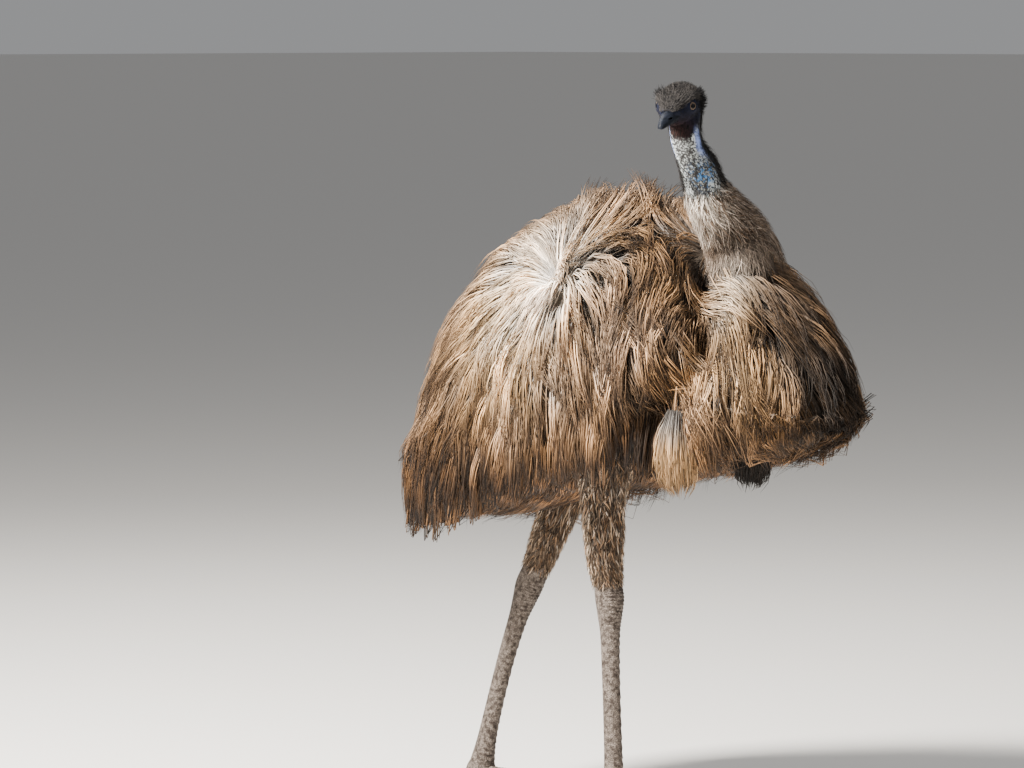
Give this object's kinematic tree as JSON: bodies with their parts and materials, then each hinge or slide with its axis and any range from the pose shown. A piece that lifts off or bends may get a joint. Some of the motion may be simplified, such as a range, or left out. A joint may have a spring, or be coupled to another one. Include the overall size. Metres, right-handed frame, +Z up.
{
  "type": "emu",
  "caption": "Life-size standing emu in mid-stride with shaggy brown plumage, its slender neck drawn back and its head turned to its right",
  "frame": {"origin": "on the floor, under the middle of the part's bounding box, below the belly between the two feet", "axes": "+Z up, the bird's body faces -Y, its left side is at +X, and its head is turned towards -X"},
  "size_m": [0.6222, 1.0653, 1.3696],
  "materials": {
    "plumage": "long, loose, hair-like double feathers, pale at the root and brown at the tip",
    "neck_skin": "pale blue-grey bare skin with sparse dark hair-like feathers",
    "head_plumage": "fine blackish bristle feathers over blue-black skin",
    "bill_horn": "dark horn, slightly worn",
    "eyes": "glossy, orange-brown iris round a black pupil",
    "leg_scales": "grey-brown scaled skin with raised plates down the front",
    "claw_horn": "dark horn"
  },
  "bodies": {
    "root": {"torso": "plumage", "tail": "plumage", "neck_lower": "plumage", "neck_upper": "neck_skin", "head": "head_plumage", "bill_upper": "bill_horn", "bill_lower": "bill_horn", "eye_left": "eyes", "eye_right": "eyes", "drumstick_left": "plumage", "drumstick_right": "plumage", "shank_left": "leg_scales", "shank_right": "leg_scales", "toe_left_inner": "leg_scales", "toe_left_middle": "leg_scales", "toe_left_outer": "leg_scales", "toe_right_inner": "leg_scales", "toe_right_middle": "leg_scales", "toe_right_outer": "leg_scales", "claw_left_inner": "claw_horn", "claw_left_middle": "claw_horn", "claw_left_outer": "claw_horn", "claw_right_inner": "claw_horn", "claw_right_middle": "claw_horn", "claw_right_outer": "claw_horn"}
  },
  "joints": []
}
